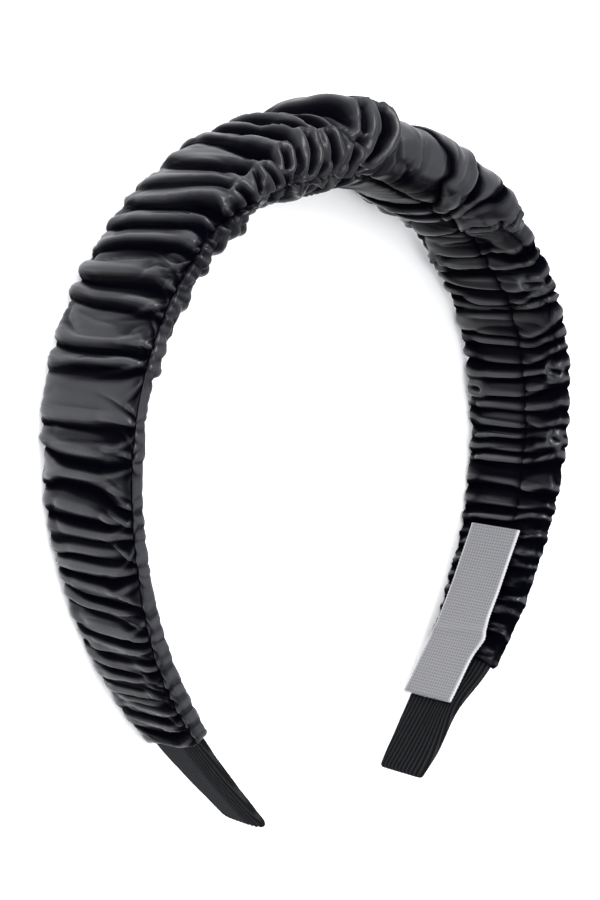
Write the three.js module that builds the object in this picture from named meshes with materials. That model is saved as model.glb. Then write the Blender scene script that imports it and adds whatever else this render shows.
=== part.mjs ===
// Ruched headband lying on its back edge: a padded band with ribbed ends, a gathered
// leather sleeve over it and a woven label inside one arm. Millimetres, +Z up.
// The crown points along +Y, the open mouth along -Y, and the front edge faces up.

import * as THREE from 'three';
import { ParametricGeometry } from 'three/addons/geometries/ParametricGeometry.js';
import { mergeVertices } from 'three/addons/utils/BufferGeometryUtils.js';

// Driving dimensions
const HALF_ARC = 200.5;         // crown to tip, along the middle of the band
const SLEEVE_WALL = 1.0;        // leather thickness
const SEAM_PINCH = 0.6;         // share of a crest's height that the seam takes away
const LABEL_THICK = 0.8;
const LABEL_WIDTH = 15.5;
const REST_TILT = 3.8;          // degrees; the wide crown lifts the loop this much
const REST_PRESS = 0.7;         // how far the folds are pressed flat where they rest
const LEFT_HEM = -170.5;        // arc positions of the sleeve's ends, from the crown
const RIGHT_HEM = 167;
const HEM_LEAN = 3;             // how much further on the right hem is at the front edge

// Mesh density
const AROUND = 18;
const BAND_STEPS = 60;
const LABEL_STEPS = 12;
const ARCH_STEPS = 400;

// Bend of the middle line; at is the share of the half arc, bend is in radians per mm
const ARCH = [
  { at: 0.0, bend: 0.0132 },
  { at: 0.2, bend: 0.0148 },
  { at: 0.4, bend: 0.0166 },
  { at: 0.6, bend: 0.0106 },
  { at: 0.8, bend: 0.0088 },
  { at: 1.0, bend: -0.0019 },
];

// Outside of the sleeve; boxy is the exponent of the section, 1 for an ellipse
const SLEEVE = [
  { at: 0.00, width: 41.5, thick: 22.0, boxy: 0.85 },
  { at: 0.12, width: 39.5, thick: 18.5, boxy: 0.80 },
  { at: 0.25, width: 36.0, thick: 11.5, boxy: 0.70 },
  { at: 0.40, width: 33.0, thick: 7.4, boxy: 0.60 },
  { at: 0.60, width: 29.6, thick: 6.8, boxy: 0.60 },
  { at: 0.75, width: 26.6, thick: 6.6, boxy: 0.60 },
  { at: 0.86, width: 23.4, thick: 6.2, boxy: 0.60 },
];

// The band, padded under the sleeve's crown; it leaves room for the sleeve's valleys
const BAND = [
  { at: 0.00, width: 31.4, thick: 11.4 },
  { at: 0.12, width: 30.4, thick: 8.8 },
  { at: 0.25, width: 28.6, thick: 4.0 },
  { at: 0.40, width: 27.4, thick: 2.5 },
  { at: 0.60, width: 25.2, thick: 2.5 },
  { at: 0.75, width: 22.2, thick: 2.5 },
  { at: 0.86, width: 19.8, thick: 2.6 },
  { at: 0.93, width: 16.8, thick: 2.8 },
  { at: 1.00, width: 13.4, thick: 2.8 },
];

// Where the lengthwise seam runs round the section: 0 is the front edge, 90 the outer face
const SEAM = [
  { at: -175, turn: 40 },
  { at: -145, turn: 42 },
  { at: -120, turn: 24 },
  { at: -80, turn: 14 },
  { at: -45, turn: 0 },
  { at: 0, turn: -55 },
  { at: 25, turn: -82 },
  { at: 170, turn: -80 },
];

// Gathers of the sleeve, a row for each puff. Each starts in a valley at from, an arc
// position on the back edge, and lean is how much further on the valley meets the front.
const PUFFS = [
  { from: LEFT_HEM, rise: 0.4, lean: 7 },
  { from: -165, rise: 0.6, lean: 5 },
  { from: -159, rise: 0.6, lean: 3 },
  { from: -154, rise: 0.7, lean: 2 },
  { from: -147, rise: 0.5, lean: 2 },
  { from: -143, rise: 0.6, lean: 3 },
  { from: -135, rise: 0.7, lean: -3 },
  { from: -129, rise: 0.6, lean: -3 },
  { from: -124, rise: 0.6, lean: -1 },
  { from: -120, rise: 0.5, lean: 0 },
  { from: -116, rise: 0.7, lean: 0 },
  { from: -109, rise: 0.7, lean: -3 },
  { from: -101, rise: 0.7, lean: -1 },
  { from: -96, rise: 0.6, lean: 0 },
  { from: -87, rise: 0.8, lean: 2 },
  { from: -81, rise: 1.0, lean: 3 },
  { from: -69, rise: 1.2, lean: -1 },
  { from: -65, rise: 1.0, lean: 3 },
  { from: -61, rise: 1.2, lean: 4 },
  { from: -55, rise: 1.4, lean: 2 },
  { from: -48, rise: 1.8, lean: 1 },
  { from: -40, rise: 2.4, lean: 4 },
  { from: -31, rise: 2.0, lean: -3 },
  { from: -24, rise: 2.2, lean: 2 },
  { from: -17, rise: 1.8, lean: -2 },
  { from: -11, rise: 2.8, lean: 3 },
  { from: -1, rise: 3.0, lean: 2 },
  { from: 17, rise: 2.4, lean: 4 },
  { from: 29, rise: 2.2, lean: 4 },
  { from: 40, rise: 1.8, lean: 2 },
  { from: 49, rise: 1.4, lean: 2 },
  { from: 56, rise: 1.2, lean: 1 },
  { from: 62, rise: 1.0, lean: 2 },
  { from: 68, rise: 0.9, lean: -1 },
  { from: 73, rise: 0.8, lean: 1 },
  { from: 79, rise: 0.8, lean: 0 },
  { from: 84, rise: 0.7, lean: -1 },
  { from: 89, rise: 0.7, lean: 1 },
  { from: 94, rise: 0.6, lean: 1 },
  { from: 99, rise: 0.6, lean: 0 },
  { from: 104, rise: 0.6, lean: -1 },
  { from: 109, rise: 0.6, lean: 1 },
  { from: 114, rise: 0.7, lean: 0 },
  { from: 119, rise: 0.7, lean: -1 },
  { from: 125, rise: 0.6, lean: 1 },
  { from: 130, rise: 0.6, lean: 0 },
  { from: 136, rise: 0.6, lean: 1 },
  { from: 142, rise: 0.6, lean: -1 },
  { from: 148, rise: 0.6, lean: 1 },
  { from: 154, rise: 0.6, lean: 0 },
  { from: 160, rise: 0.4, lean: 0 },
];

// The label's middle line on the inner face: across is its height above the band's middle,
// proud its height off the band's middle plane
const LABEL = [
  { at: 133.0, across: 0.3, proud: 3.55 },
  { at: 162.0, across: -1.0, proud: 3.45 },
  { at: 170.0, across: -1.5, proud: 2.95 },
  { at: 180.5, across: -2.1, proud: 1.75 },
];

const LEATHER = { color: 0x1d1e22, roughness: 0.38, metalness: 0.0 };
const RIBBON = { color: 0x16171a, roughness: 0.85, metalness: 0.0 };
const WOVEN = { color: 0xa9abae, roughness: 0.7, metalness: 0.0 };

// Smooth curve through one column of a table
function along(table, column, at) {
  const last = table.length - 1;
  const place = THREE.MathUtils.clamp(at, table[0].at, table[last].at);
  let row = 0;
  while (row < last - 1 && place >= table[row + 1].at) row += 1;
  const slope = (index) => {
    const before = table[Math.max(index - 1, 0)];
    const after = table[Math.min(index + 1, last)];
    return (after[column] - before[column]) / (after.at - before.at);
  };
  const span = table[row + 1].at - table[row].at;
  const t = (place - table[row].at) / span;
  const ease = t * t * (3 - 2 * t);
  return table[row][column] * (1 - ease)
    + table[row + 1][column] * ease
    + slope(row) * span * t * (1 - t) * (1 - t)
    - slope(row + 1) * span * t * t * (1 - t);
}

// The middle line, walked from the crown to a tip by its bend
function walkArch() {
  const step = HALF_ARC / ARCH_STEPS;
  const points = [{ x: 0, y: 0, turn: 0 }];
  for (let i = 0; i < ARCH_STEPS; i += 1) {
    const { x, y, turn } = points[i];
    const bend = along(ARCH, 'bend', (i + 0.5) / ARCH_STEPS);
    const middle = turn + bend * step / 2;
    points.push({
      x: x + Math.cos(middle) * step,
      y: y - Math.sin(middle) * step,
      turn: turn + bend * step,
    });
  }
  return points;
}

const archPoints = walkArch();

// Place on the middle line at an arc position, with the outward direction there
function archAt(arc) {
  const reach = Math.min(Math.abs(arc) / HALF_ARC, 1) * ARCH_STEPS;
  const index = Math.min(Math.floor(reach), ARCH_STEPS - 1);
  const share = reach - index;
  const near = archPoints[index];
  const far = archPoints[index + 1];
  const side = Math.sign(arc);
  const turn = THREE.MathUtils.lerp(near.turn, far.turn, share);
  return {
    x: side * THREE.MathUtils.lerp(near.x, far.x, share),
    y: THREE.MathUtils.lerp(near.y, far.y, share),
    outX: side * Math.sin(turn),
    outY: Math.cos(turn),
  };
}

// A point off the middle line: across is up the band's width, out is away from the head
function onBand(arc, across, out, target) {
  const { x, y, outX, outY } = archAt(arc);
  target.set(x + outX * out, y + outY * out, across);
}

// Angle of a section's corner; no corner lies on an edge's very middle, so edges rest flat
function sectionAngle(around) {
  return -2 * Math.PI * (around + 0.5) / AROUND;
}

function sectionPoint(halfWidth, halfThick, boxy, angle) {
  const cos = Math.cos(angle);
  const sin = Math.sin(angle);
  return {
    across: halfWidth * Math.sign(cos) * Math.abs(cos) ** boxy,
    out: halfThick * Math.sign(sin) * Math.abs(sin) ** boxy,
  };
}

function sleeveSize(arc) {
  const at = Math.abs(arc) / HALF_ARC;
  return {
    halfWidth: along(SLEEVE, 'width', at) / 2,
    halfThick: along(SLEEVE, 'thick', at) / 2,
    boxy: along(SLEEVE, 'boxy', at),
  };
}

// Stations of the sleeve: outside, a valley at each puff's start and crests between, and
// inside, a smooth hollow one wall below the valleys. under is the depth below the outline.
function sleeveStations() {
  const outside = [];
  const inside = [];
  const closing = { from: RIGHT_HEM, rise: PUFFS[PUFFS.length - 1].rise, lean: HEM_LEAN };
  PUFFS.forEach((puff, index) => {
    const next = PUFFS[index + 1] ?? closing;
    const width = next.from - puff.from;
    const stationAt = (t) => ({
      arc: puff.from + width * t,
      lean: THREE.MathUtils.lerp(puff.lean, next.lean, t),
      rise: THREE.MathUtils.lerp(puff.rise, next.rise, t),
      crest: Math.sin(Math.PI * t),
      wall: 0,
    });
    const crests = width < 5.5 ? 1 : 2;
    for (let i = 0; i <= crests; i += 1) outside.push(stationAt(i / (crests + 1)));
    const spans = width > 9 ? 2 : 1;
    for (let i = 0; i < spans; i += 1) {
      inside.push({ ...stationAt(i / spans), crest: 0, wall: SLEEVE_WALL });
    }
  });
  const hem = { arc: RIGHT_HEM, lean: HEM_LEAN, rise: closing.rise, crest: 0, wall: 0 };
  outside.push(hem);
  inside.push({ ...hem, wall: SLEEVE_WALL });
  return [...outside, ...inside.reverse()];
}

// Height of the loop's middle plane over the resting surface, at the crown's own centre
const tilt = THREE.MathUtils.degToRad(REST_TILT);
const restLift = along(SLEEVE, 'width', 0) / 2 * Math.cos(tilt) - REST_PRESS;

// The resting surface under a point, in the loop's own plane
function restSurface(y) {
  return -(restLift + y * Math.sin(tilt)) / Math.cos(tilt);
}

// A closed body from a grid of points; rows that run to a single point close its ends
function closedBody(slices, stacks, pointAt) {
  const grid = (u, v, target) => {
    pointAt(Math.round(u * slices) % slices, Math.round(v * stacks), target);
  };
  const geometry = new ParametricGeometry(grid, slices, stacks);
  geometry.deleteAttribute('normal');
  geometry.deleteAttribute('uv');
  const merged = mergeVertices(geometry, 1e-4);
  const corners = merged.index.array;
  const kept = [];
  for (let i = 0; i < corners.length; i += 3) {
    const [a, b, c] = corners.slice(i, i + 3);
    if (a !== b && b !== c && c !== a) kept.push(a, b, c);
  }
  merged.setIndex(kept);
  merged.computeVertexNormals();
  return merged;
}

function buildSleeve() {
  const stations = sleeveStations();
  return closedBody(AROUND, stations.length, (around, row, target) => {
    const station = stations[row % stations.length];
    const angle = sectionAngle(around);
    const arc = station.arc + station.lean * Math.cos(angle) / 2;
    const seam = THREE.MathUtils.degToRad(along(SEAM, 'turn', arc));
    const pinch = SEAM_PINCH * Math.max(Math.cos(angle - seam), 0) ** 24;
    const under = station.rise * (1 - station.crest * (1 - pinch)) + station.wall;
    const { halfWidth, halfThick, boxy } = sleeveSize(arc);
    const { across, out } = sectionPoint(halfWidth - under, halfThick - under, boxy, angle);
    onBand(arc, across, out, target);
    target.z = Math.max(target.z, restSurface(target.y));
  });
}

function buildBand() {
  return closedBody(AROUND, BAND_STEPS + 2, (around, row, target) => {
    const share = THREE.MathUtils.clamp(row - 1, 0, BAND_STEPS) / BAND_STEPS;
    const arc = HALF_ARC * (2 * share - 1);
    const at = Math.abs(arc) / HALF_ARC;
    const capped = row === 0 || row === BAND_STEPS + 2;
    const scale = capped ? 0 : 0.5;
    const halfWidth = along(BAND, 'width', at) * scale;
    const halfThick = along(BAND, 'thick', at) * scale;
    const angle = sectionAngle(around);
    const { across, out } = sectionPoint(halfWidth, halfThick, sleeveSize(arc).boxy, angle);
    onBand(arc, across, out, target);
  });
}

function buildLabel() {
  const corners = [[1, 0], [1, 1], [-1, 1], [-1, 0]];
  return closedBody(4, LABEL_STEPS + 2, (around, row, target) => {
    const first = LABEL[0].at;
    const last = LABEL[LABEL.length - 1].at;
    const share = THREE.MathUtils.clamp(row - 1, 0, LABEL_STEPS) / LABEL_STEPS;
    const arc = THREE.MathUtils.lerp(first, last, share);
    const middle = along(LABEL, 'across', arc);
    const proud = along(LABEL, 'proud', arc);
    const capped = row === 0 || row === LABEL_STEPS + 2;
    const [side, top] = capped ? [0, 0.5] : corners[around];
    onBand(arc, middle + side * LABEL_WIDTH / 2, -(proud + top * LABEL_THICK), target);
  });
}

function piece(name, geometry, finish) {
  const mesh = new THREE.Mesh(geometry, new THREE.MeshStandardMaterial(finish));
  mesh.name = name;
  return mesh;
}

// The loop, tilted as it rests on its back edge, with its footprint centred on the origin
const headband = new THREE.Group();
headband.add(
  piece('padded_band', buildBand(), RIBBON),
  piece('ruched_sleeve', buildSleeve(), LEATHER),
  piece('woven_label', buildLabel(), WOVEN),
);
headband.rotation.x = tilt;
headband.position.z = restLift;
headband.updateMatrixWorld(true);
const centre = new THREE.Box3().setFromObject(headband, true).getCenter(new THREE.Vector3());
headband.position.x = -centre.x;
headband.position.y = -centre.y;

export default headband;
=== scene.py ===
import math
from collections import namedtuple

import bmesh
import bpy
import numpy as np
from mathutils import Matrix, Vector


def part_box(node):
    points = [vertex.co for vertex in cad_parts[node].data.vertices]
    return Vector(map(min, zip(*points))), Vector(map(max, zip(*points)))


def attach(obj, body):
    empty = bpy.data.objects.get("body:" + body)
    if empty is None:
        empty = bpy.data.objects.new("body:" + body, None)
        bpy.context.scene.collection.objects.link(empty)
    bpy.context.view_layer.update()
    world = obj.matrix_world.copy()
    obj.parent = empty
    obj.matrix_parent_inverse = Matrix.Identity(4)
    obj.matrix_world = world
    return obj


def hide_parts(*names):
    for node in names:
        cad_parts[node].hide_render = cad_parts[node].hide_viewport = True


bl_info = {
    "name": "Ruched Headband",
    "version": (1, 0, 0),
    "blender": (4, 5, 0),
    "location": "View3D > Sidebar > Headband",
    "description": "A gathered faux leather headband with ribbed ends and a bare woven label",
    "category": "Add Mesh",
}

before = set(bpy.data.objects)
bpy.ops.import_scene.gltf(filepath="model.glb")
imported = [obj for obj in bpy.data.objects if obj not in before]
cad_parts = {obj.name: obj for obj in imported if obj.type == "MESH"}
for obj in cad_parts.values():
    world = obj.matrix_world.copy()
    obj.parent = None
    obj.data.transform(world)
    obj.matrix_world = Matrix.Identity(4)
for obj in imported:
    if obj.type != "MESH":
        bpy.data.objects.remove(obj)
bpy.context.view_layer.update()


def table(columns, rows):
    """Rows with named columns."""
    row_type = namedtuple("Row", columns)
    return [row_type(*row) for row in rows]


# Millimetres here, and metres in the frame. Arc is the way along the middle of the band from
# the crown, minus on the left arm. Turn runs round the section in degrees: 0 is the front
# edge, 90 the outer face, 180 the back edge and -90 the inner face.
MM = 0.001
HALF_ARC = 200.5
ARCH_STEPS = 400

# The loop lies on its back edge, tilted as its crown is wider than its arms, and its soft
# leather is pressed in by so many millimetres where it rests
REST_TILT = math.radians(3.8)
REST_PRESS = 0.7

# The sleeve's hems, and how much farther out a hem's front edge is than its back edge
LEFT_HEM = -170.5
LEFT_LEAN = 7.0
RIGHT_HEM = 167.0
RIGHT_LEAN = 3.0

# Bend of the middle line in radians a millimetre; at is a share of the half arc
ARCH = table("at bend", [
    (0.0, 0.0132),
    (0.2, 0.0148),
    (0.4, 0.0166),
    (0.6, 0.0106),
    (0.8, 0.0088),
    (1.0, -0.0019),
])

# Outline of the sleeve; rise is how far its valleys lie under its crests
SLEEVE = table("at width thick boxy rise", [
    (0.00, 41.5, 22.0, 0.85, 4.0),
    (0.12, 39.5, 18.5, 0.80, 3.6),
    (0.25, 36.0, 11.5, 0.70, 2.8),
    (0.40, 33.0, 7.4, 0.60, 2.0),
    (0.60, 29.6, 6.8, 0.60, 1.8),
    (0.75, 26.6, 6.6, 0.60, 1.6),
    (0.86, 23.4, 6.2, 0.60, 1.3),
])

# Outline of the band, wadded under the crown
BAND = table("at width thick", [
    (0.00, 31.4, 11.4),
    (0.12, 30.4, 8.8),
    (0.25, 28.6, 4.0),
    (0.40, 27.4, 2.5),
    (0.60, 25.2, 2.5),
    (0.75, 22.2, 2.5),
    (0.86, 19.8, 2.6),
    (0.93, 16.8, 2.8),
    (1.00, 13.4, 2.8),
])

# Middle of the label by arc: its place across the band and how far it is inside the
# band's middle line
LABEL = table("at across proud", [
    (133.0, 0.3, 3.55),
    (162.0, -1.0, 3.45),
    (170.0, -1.5, 2.95),
    (180.5, -2.1, 1.75),
])

# Turn of the seam by arc
SEAM = table("at turn", [
    (-175, 40),
    (-145, 42),
    (-120, 24),
    (-80, 14),
    (-45, 0),
    (0, -55),
    (25, -82),
    (170, -80),
])

# Gathers of the arms: where each crease crosses the back, the face and the front edge.
# A left one is read on the outer face and a right one on the inner face.
GATHERS = table("back face front depth", [
    (-44.6, -44.9, -42.6, 0.7),
    (-48.6, -49.4, -49.1, 0.8),
    (-54.6, -53.6, -53.4, 0.9),
    (-61.1, -58.6, -59.1, 1.0),
    (-66.7, -67.2, -68.9, 1.0),
    (-71.2, -72.9, -74.4, 0.9),
    (-81.2, -80.9, -81.2, 1.25),
    (-86.2, -84.4, -84.4, 0.8),
    (-96.5, -96.0, -95.7, 0.75),
    (-101.2, -103.2, -102.2, 1.0),
    (-109.7, -108.2, -112.5, 1.0),
    (-115.3, -115.0, -115.8, 1.0),
    (-119.5, -119.3, -117.8, 0.8),
    (-123.8, -122.3, -123.3, 0.9),
    (-126.3, -126.5, -125.0, 0.7),
    (-129.8, -131.8, -133.6, 0.9),
    (-133.8, -135.3, -137.1, 0.7),
    (-139.6, -140.8, -140.1, 0.9),
    (-143.3, -144.6, -143.8, 0.8),
    (-147.3, -148.1, -146.6, 0.8),
    (-152.6, -152.3, -150.8, 1.0),
    (-156.1, -154.8, -153.6, 0.7),
    (-162.1, -160.9, -157.9, 1.0),
    (-166.5, -165.6, -162.0, 0.8),
    (57.6, 56.0, 58.1, 1.1),
    (60.9, 61.6, 60.6, 0.9),
    (67.1, 69.2, 67.4, 1.0),
    (72.2, 73.7, 70.2, 1.0),
    (75.9, 75.0, 73.4, 0.8),
    (82.4, 82.9, 79.2, 1.0),
    (85.4, 85.0, 81.9, 0.8),
    (89.7, 90.0, 85.9, 1.0),
    (94.5, 93.5, 91.2, 0.9),
    (100.0, 98.7, 96.0, 1.0),
    (102.7, 102.2, 101.2, 0.8),
    (107.7, 107.2, 106.0, 1.0),
    (110.2, 110.0, 108.2, 0.8),
    (114.3, 113.7, 111.0, 1.0),
    (117.0, 116.9, 114.5, 0.8),
    (123.5, 123.0, 122.3, 1.0),
    (128.3, 127.7, 127.5, 0.9),
    (132.8, 131.0, 129.8, 0.9),
    (136.4, 135.2, 135.0, 0.7),
    (140.6, 139.8, 139.5, 0.9),
    (144.2, 143.6, 142.6, 0.7),
    (149.0, 148.0, 147.6, 0.9),
    (152.4, 152.0, 151.2, 0.7),
    (157.2, 156.4, 156.0, 0.9),
    (161.0, 160.6, 161.0, 0.8),
])

# Creases over the crown: each run lists turn and arc, from the outer face to the inner
CROWN = table("depth run", [
    (0.9, ((117, -29.6), (84, -31.8), (55, -32.6), (33, -31.3), (12, -31.1), (-18, -32.5))),
    (0.8, ((125, -36.0), (84, -38.5), (39, -37.8), (9, -39.1), (0, -39.6), (-15, -43.8))),
    (1.0, ((133, -25.0), (84, -26.4), (56, -25.8), (12, -26.6), (0, -27.4), (-30, -36.6))),
    (1.0, ((120, -19.5), (84, -21.0), (45, -20.3), (18, -21.3), (3, -22.2), (-12, -29.1))),
    (0.9, ((100, -15.5), (48, -16.8), (24, -17.0), (3, -16.5), (-6, -19.8), (-27, -22.8))),
    (1.2, ((130, -7.8), (93, -9.2), (57, -10.0), (30, -8.8), (3, -10.2), (-24, -17.0))),
    (1.2, ((120, -0.5), (48, -1.5), (15, -3.0), (0, -3.6), (-9, -7.5), (-40, -10.0))),
    (1.0, ((90, 14.5), (18, 17.0), (3, 18.8), (-12, 20.0), (-35, 20.8), (-81, 31.3))),
    (0.9, ((100, 30.5), (12, 29.3), (0, 31.3), (-30, 31.6), (-81, 35.0))),
    (0.9, ((100, 38.5), (31, 39.3), (6, 38.8), (-47, 35.8), (-84, 38.8))),
    (1.1, ((100, 50.0), (24, 49.4), (-18, 45.1), (-63, 40.8), (-90, 46.4), (-111, 47.9))),
])

# Short tucks that end on the surface: middle arc and turn, length, slant in mm, depth
TUCK_COLUMNS = "arc turn length slant depth"
TUCKS = table(TUCK_COLUMNS, [
    (-50.2, 40, 14, 2.0, 0.5),
    (-65.4, 45, 16, -1.2, 0.6),
    (-78.6, 50, 12, -2.0, 0.6),
    (-92.5, 90, 22, 0.0, 0.25),
    (-98.8, 80, 18, -3.0, 0.7),
    (-106.5, 60, 16, -5.0, 0.5),
    (-164.0, 50, 12, 5.0, 0.6),
    (-43.2, 22, 12, -0.6, 0.7),
    (-35.2, 5, 12, -1.5, 0.6),
    (-12.3, -8, 14, -3.5, 0.8),
    (-5.0, 75, 16, 1.0, 0.5),
    (7.0, 70, 22, 1.5, 0.3),
    (24.5, 40, 20, 2.0, 0.5),
    (54.0, -70, 12, 2.0, 0.6),
    (64.5, -70, 10, 1.5, 0.6),
    (78.5, -60, 14, 2.0, 0.5),
    (87.5, -110, 12, 1.0, 0.5),
    (105.0, -60, 12, 1.0, 0.5),
    (120.0, -60, 16, 1.0, 0.5),
])

# Slots with the leather looped round them: half width in mm, depth, then turn and arc
SLOTS = table("width depth run", [
    (0.8, 1.0, ((41, -21.3), (11, -23.1), (-10, -25.6))),
    (0.8, 0.9, ((31, -16.8), (-7, -17.8), (-34, -19.8))),
    (0.8, 0.9, ((0, -12.0), (-29, -14.3))),
    (0.6, 1.0, ((33, -29.1), (10, -30.8))),
    (0.5, 0.9, ((32, -37.3), (5, -39.6))),
    (0.6, 0.9, ((28, -35.1), (0, -34.8))),
    (0.7, 0.8, ((48, -5.3), (20, -8.2))),
    (1.5, 1.0, ((36, -1.6), (15, -2.3), (-13, -7.3))),
    (0.7, 0.8, ((0, 45.8), (-20, 46.9))),
    (0.6, 0.8, ((-68, 42.6), (-43, 43.3))),
    (0.6, 0.9, ((30, -42.6), (0, -42.8))),
    (0.5, 0.8, ((-45, 90.7), (-20, 91.5))),
    (0.5, 0.8, ((-120, 97.2), (-140, 97.2))),
    (0.5, 0.8, ((-127, 57.9), (-130, 60.4))),
    (0.6, 0.7, ((-50, 66.0), (-25, 66.8))),
    (0.5, 0.7, ((-40, 108.5), (-22, 109.0))),
])

# Lumps of the padding, hollow where the height is minus: spread is in degrees of turn
SWELLS = table("arc turn reach spread height", [
    (-2.5, 70, 6.0, 55, 4.2),
    (6.0, 30, 3.2, 60, -1.5),
    (-30.0, 80, 8.0, 55, 1.3),
    (-44.0, 80, 5.0, 60, 0.8),
    (21.0, 30, 8.0, 50, 1.2),
    (41.0, 15, 6.0, 50, 1.6),
    (145.0, 0, 16.0, 40, -1.2),
    (165.0, 0, 8.0, 40, -0.6),
    (-140.0, 0, 26.0, 40, -0.7),
    (-92.0, 0, 5.0, 30, -1.0),
])

# Pinched stitches of the left arm's seam, as the photograph shows them
LEFT_KNOTS = (-164, -159, -153, -147, -140, -134, -125, -118, -112, -102, -96,
              -84.4, -80.5, -74.4, -68.5, -59, -53, -46)
# Between these arcs the caught gathers stand out beside the seam, by so many millimetres
KNOBS_FROM = -90
KNOBS_TO = -40
KNOB_PROUD = 1.1

# Places where the leather lies smooth between its gathers
CALMS = table("arc turn reach spread", [
    (-91, 90, 5.0, 130),
    (-130, -10, 46, 34),
    (24, -10, 16, 60),
    (28, 50, 18, 80),
    (5, -75, 30, 35),
    (-3, 40, 6, 60),
    (-44, 70, 4, 60),
])

# Width of the painted shadow under the crests, widest on the arm with the label
PAINTED_SHADOWS = table("arc share", [
    (-170, 0.8),
    (-112, 0.8),
    (-92, 0.5),
    (-20, 0.58),
    (15, 0.6),
    (60, 0.95),
    (170, 1.0),
])

# How bright the painted sheen of the leather is along the arms: painted lighter on the lower left
# arm and darker on the right arm
PAINTED_ARM_SHEEN = table("arc share", [(-90, 1.18), (-60, 1.0), (30, 1.0), (50, 0.92)])

# Places with painted light: a painted highlight on the lobes beside the crown, painted shade on the
# inner face and a painted shadow under a lobe; power is how square they are by arc
PAINTED_PATCHES = table("arc turn reach spread power change", [
    (25, 0, 16, math.inf, 2, 0.6),
    (10, -90, 34, 50, 2, -0.8),
    (16, -56, 13, 18, 4, -0.85),
])

# Seeded noise: how much of it, its seed, and its cells in mm along the arc and in number round
WOBBLE = table("amount seed cell cells_round", [(0.6, 21, 9.0, 7), (0.3, 22, 4.0, 15)])
WARP = table("amount seed cell cells_round", [(2.2, 71, 14.0, 5), (0.9, 72, 5.0, 9)])
RIPPLE = table("amount seed cell cells_round", [(0.05, 43, 1.6, 12), (0.03, 44, 0.9, 22)])

# First seeds of the noise that each main fold has of its own, and its cells in mm
FALL_SEED = 100
LAP_SEED = 200
DEPTH_SEED = 300
SHADE_SEED = 400
MIDDLE_SEED = 500
FOLD_CELL = 30.0

# Shape of the main folds: length of the steep side, and reaches of the foot, the crest, the
# painted shadow under a crest and the painted highlight line on it; then the painted sheen of a
# slope, how far crests stand past the outline, and how much more the crown's folds waver
FALL = 2.4
FOOT_REACH = 1.0
KNOB_REACH = 1.7
PAINTED_SHADE_REACH = 2.8
PAINTED_RIDGE_REACH = 0.65
FLAT_PAINTED_SHEEN = 0.55
CREST_PROUD = 0.5
CROWN_WOBBLE = 2.2

# From here the right arm's folds step at the seam; a seam's pinch reaches so many degrees
RIGHT_SIDE = 30
SEAM_STEP = 0.9
SEAM_PINCH = 30

# Lengths of the small tucks beside the seam, how many faint ones there are, where the fine
# pleats of both ends start, and how near a tuck or slot changes anything
FACE_TUCK = 19
STRIP_TUCK = 6
RIGHT_TUCK = 9
RIGHT_TUCKS_FROM = 48.0
FAINT_TUCKS = 110
PLEATS_FROM = 118
NEARBY = 12
FAR = 99.0

# How the leather lies on the band: its gap to it, its rolled hems and how softly it stops
BAND_GAP = 0.35
LEFT_ROLL = 1.6
RIGHT_ROLL = 1.4
SOFT_STOP = 0.25

# Grids of the pieces, the step in radians that finds which way a surface faces, and how
# close in metres points are when they are welded
OUTSIDE_ROWS = 900
INSIDE_ROWS = 56
AROUND = 102
SEAM_CROWDING = 0.55
BAND_AROUND = 168
END_ROWS = 110
MIDDLE_ROWS = 60
LABEL_ROWS = 120
LABEL_COLUMNS = 48
WRAP_SAMPLES = 360
TURN_STEP = 0.01
WELD = 1e-7

# Ribs of the bare ends, their rounded tips and the threads of the label's edges
RIBS_FROM = 160.0
RIB_HEIGHT = 0.56
TIP_ROUND = 1.1
EDGE_THREAD = 0.9

# Sizes of the finishes in mm; a wave texture at scale 1 has WAVE_BANDS bands in a unit
GRAIN = 0.45
FINE_CREASE = 1.6
FUZZ = 0.6
THREAD = 0.299
WAVE_BANDS = 20 / (2 * math.pi)
WEAVE_DOT = 0.8

# Painted reflection: specular level of the leather's coating from a crease, 0, to a crest, 1, none
# in the creases as painted shade and most on the crests as painted highlight
PAINTED_GLOSS = [(0.0, 0.0), (0.2, 0.012), (0.38, 0.16), (0.55, 0.5), (0.8, 0.57), (1.0, 0.66)]

# Brightness of the surround from the mouth's side, 0, to the crown's side, 1
SURROUND = [(0.0, 0.24), (0.15, 0.28), (0.34, 0.33), (0.6, 0.31), (0.8, 0.34), (1.0, 0.52)]
SURROUND_TINT = (0.95, 0.965, 1.0)

# Softboxes in metres; power is a share of the key setting
LAMPS = table("name place width height power reflects", [
    ("key_softbox", (-0.35, 0.7, 0.5), 0.5, 0.35, 0.65, True),
    ("camera_softbox", (-0.75, 0.4, 0.9), 0.6, 0.5, 0.5, True),
    ("overhead_softbox", (0.0, 0.0, 1.2), 1.4, 1.4, 1.9, False),
])
LAMP_AIM = (0, 0, 0.02)
FLOOR_HALF = 30.0

# Where the camera stood when the loop was upright: its angles, its distance in mm, its focal
# length and axis in pixels of the photograph, and the crown's place from its aim in mm
PHOTO_HEIGHT = 900
PHOTO_TURN = math.radians(44.99)
PHOTO_LOOK_DOWN = math.radians(8.19)
PHOTO_ROLL = math.radians(0.45)
PHOTO_DISTANCE = 419.9
PHOTO_FOCAL = 1848.2
PHOTO_AXIS = (28.4, 25.2)
PHOTO_ORIGIN = (0.1, 72.91)
SENSOR = 36.0


# Curves, fades and noise

def along(rows, column, at):
    """Smooth curve through one column of a table."""
    places = np.array([row.at for row in rows], float)
    values = np.array([getattr(row, column) for row in rows], float)
    return smooth_curve(places, values, at)


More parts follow.
